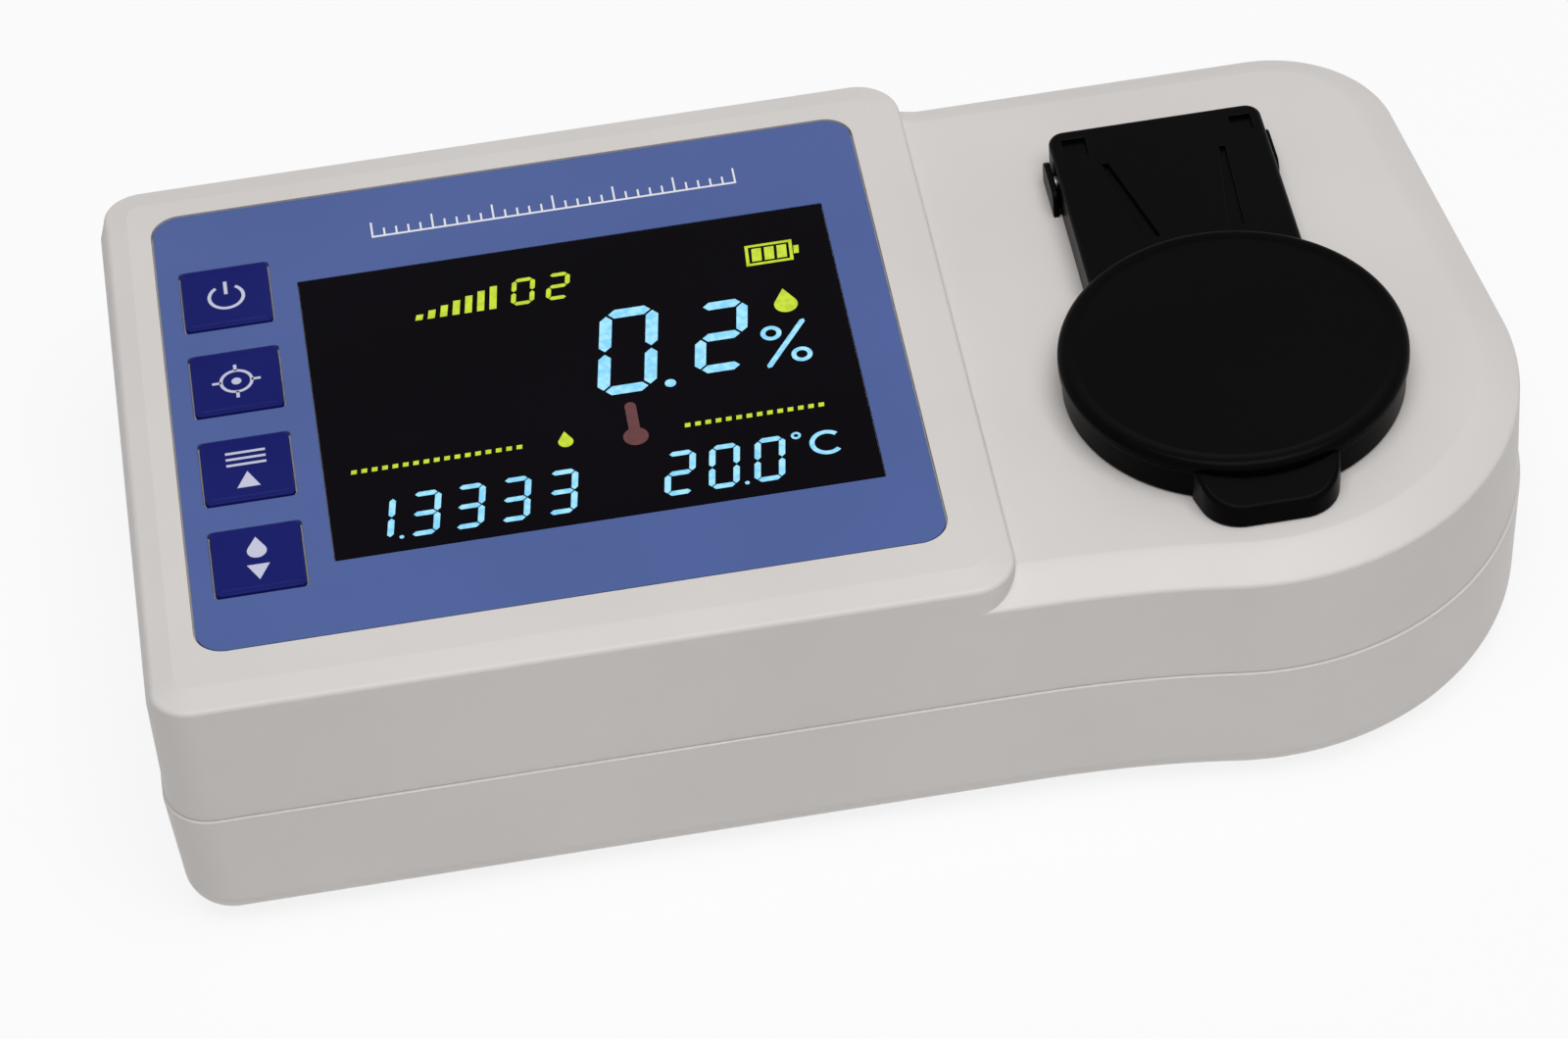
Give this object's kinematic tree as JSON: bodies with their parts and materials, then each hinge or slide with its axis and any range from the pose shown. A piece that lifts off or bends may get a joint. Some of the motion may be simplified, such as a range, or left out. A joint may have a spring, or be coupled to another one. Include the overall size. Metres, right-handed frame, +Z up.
{
  "type": "digital refractometer",
  "caption": "Bench digital refractometer: low case with a raised display panel, keys beside the display, and a round hinged lid over a steel sample well with a glass prism.",
  "frame": {"origin": "on the bench under the middle of the case, at the height of the feet's undersides", "axes": "+X along the case towards the lid end, +Y towards the hinge side at the back, +Z up"},
  "size_m": [0.2102, 0.1201, 0.051],
  "materials": {
    "case_plastic": "warm off-white moulded plastic, fine texture",
    "panel_film": "blue printed film, satin",
    "key_film": "navy printed film over each key, satin",
    "window_acrylic": "dark clear display window, glossy",
    "optical_glass": "clear polished optical glass",
    "lcd_glass": "dark display glass with lit figures",
    "backlight_plastic": "white light guide",
    "circuit_board": "green board lacquer",
    "chip_plastic": "black moulded plastic",
    "polished_steel": "turned stainless steel, fine satin",
    "screw_zinc": "zinc-plated steel",
    "block_aluminium": "machined aluminium",
    "lid_plastic": "black moulded plastic, satin",
    "black_rubber": "matt black rubber",
    "lamp_resin": "tinted clear resin",
    "cell_jacket": "plain printed cell jacket",
    "ribbon_film": "grey flat cable film"
  },
  "bodies": {
    "case": {"battery_cell_1": "cell_jacket", "battery_cell_2": "cell_jacket", "battery_cell_3": "cell_jacket", "battery_cell_4": "cell_jacket", "board_screw_1": "screw_zinc", "board_screw_2": "screw_zinc", "board_screw_3": "screw_zinc", "board_screw_4": "screw_zinc", "case_screw_1": "screw_zinc", "case_screw_2": "screw_zinc", "case_screw_3": "screw_zinc", "case_screw_4": "screw_zinc", "case_screw_5": "screw_zinc", "case_screw_6": "screw_zinc", "collecting_lens": "optical_glass", "contact_plate_left": "polished_steel", "contact_plate_right": "polished_steel", "controller_chip": "chip_plastic", "display_window": "window_acrylic", "foot_back_left": "black_rubber", "foot_back_right": "black_rubber", "foot_front_left": "black_rubber", "foot_front_right": "black_rubber", "hinge_pin": "polished_steel", "keypad_panel": "panel_film", "lcd_backlight": "backlight_plastic", "lcd_panel": "lcd_glass", "lens_barrel": "chip_plastic", "light_board": "circuit_board", "light_source": "lamp_resin", "line_sensor": "chip_plastic", "lower_shell": "case_plastic", "main_board": "circuit_board", "measuring_prism": "optical_glass", "optics_block": "block_aluminium", "optics_screw_1": "screw_zinc", "optics_screw_2": "screw_zinc", "optics_screw_3": "screw_zinc", "optics_screw_4": "screw_zinc", "sample_well": "polished_steel", "sensor_board": "circuit_board", "sensor_ribbon": "ribbon_film", "switch_calibrate": "chip_plastic", "switch_down": "chip_plastic", "switch_power": "chip_plastic", "switch_up": "chip_plastic", "temperature_sensor": "polished_steel", "upper_shell": "case_plastic", "well_gasket": "black_rubber"},
    "lid": {"lid": "lid_plastic", "lid_seal": "black_rubber"},
    "key_power": {"key_power": "key_film"},
    "key_calibrate": {"key_calibrate": "key_film"},
    "key_up": {"key_up": "key_film"},
    "key_down": {"key_down": "key_film"},
    "battery_door": {"battery_door": "case_plastic"}
  },
  "joints": [
    {"name": "lid_hinge", "type": "hinge", "parent": "case", "child": "lid", "pos_m": [0.0595, 0.0278, 0.0463], "axis": [-1, 0, 0], "range_deg": [0, 110]},
    {"name": "key_power_press", "type": "slide", "parent": "case", "child": "key_power", "axis": [0, 0, -1], "range_m": [0, 0.0005], "stiffness_N_per_m": 1500},
    {"name": "key_calibrate_press", "type": "slide", "parent": "case", "child": "key_calibrate", "axis": [0, 0, -1], "range_m": [0, 0.0005], "stiffness_N_per_m": 1500},
    {"name": "key_up_press", "type": "slide", "parent": "case", "child": "key_up", "axis": [0, 0, -1], "range_m": [0, 0.0005], "stiffness_N_per_m": 1500},
    {"name": "key_down_press", "type": "slide", "parent": "case", "child": "key_down", "axis": [0, 0, -1], "range_m": [0, 0.0005], "stiffness_N_per_m": 1500},
    {"name": "battery_door_hinge", "type": "hinge", "parent": "case", "child": "battery_door", "pos_m": [-0.06965, 0.00165, 0.0027], "axis": [0, 1, 0], "range_deg": [0, 90]}
  ]
}
